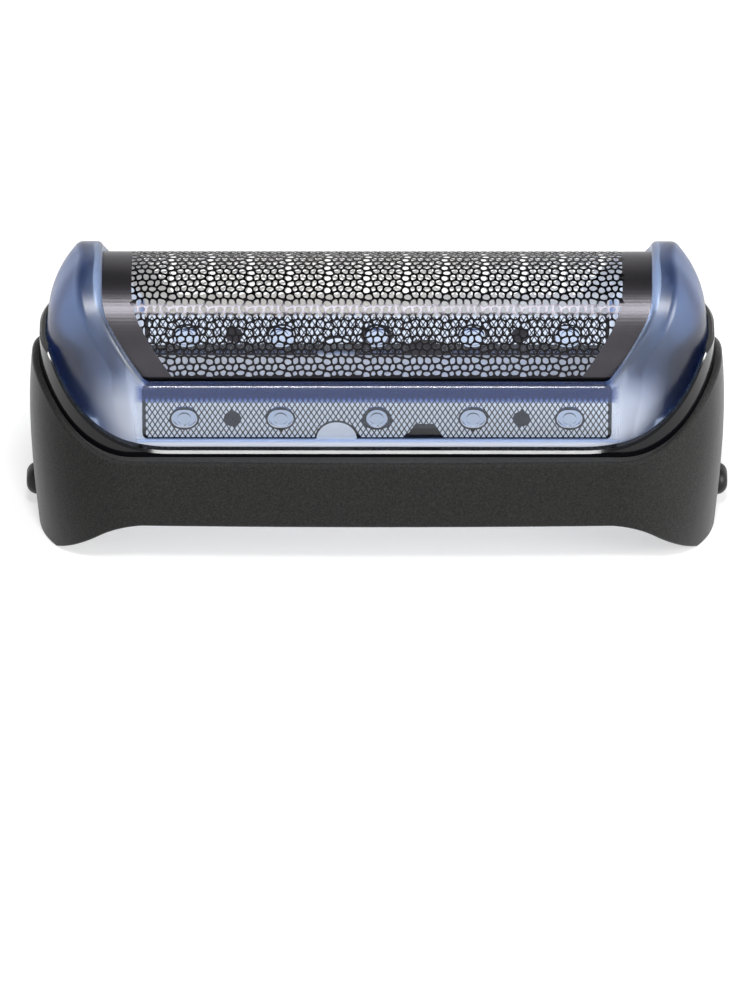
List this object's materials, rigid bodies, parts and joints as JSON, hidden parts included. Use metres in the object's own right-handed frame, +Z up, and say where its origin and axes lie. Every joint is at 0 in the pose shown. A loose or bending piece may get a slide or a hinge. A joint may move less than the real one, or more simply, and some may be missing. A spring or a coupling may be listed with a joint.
{
  "type": "shaver foil head",
  "caption": "Shaver foil head: a grey saddle-edged cover with a black inner frame, a floating translucent blue cassette, an arched perforated foil and release buttons at the ends.",
  "frame": {"origin": "bottom centre of the bounding box, on the plane that the two end feet stand on", "axes": "+X along the head, -Y the front that the picture shows, +Z up through the foil's crown"},
  "size_m": [0.0588, 0.0222, 0.0242],
  "materials": {
    "cover": "soft-touch matt",
    "frame": "moulded gloss",
    "cassette": "clear tinted, moulded gloss",
    "foil": "electroformed nickel",
    "button": "moulded satin"
  },
  "bodies": {
    "head": {"outer_cover": "cover", "inner_frame": "frame"},
    "cassette": {"foil_cassette": "cassette", "shaving_foil": "foil"},
    "left_button": {"left_release_button": "button"},
    "right_button": {"right_release_button": "button"}
  },
  "joints": [
    {"name": "cassette_float", "type": "slide", "parent": "head", "child": "cassette", "axis": [0, 0, 1], "range_m": [0, 0.001]},
    {"name": "left_button_press", "type": "hinge", "parent": "head", "child": "left_button", "pos_m": [-0.026, 0, 0.0094], "axis": [0, -1, 0], "range_deg": [0, 6], "stiffness_Nm_per_rad": 0.17},
    {"name": "right_button_press", "type": "hinge", "parent": "head", "child": "right_button", "pos_m": [0.026, 0, 0.0094], "axis": [0, 1, 0], "range_deg": [0, 6], "stiffness_Nm_per_rad": 0.17}
  ]
}
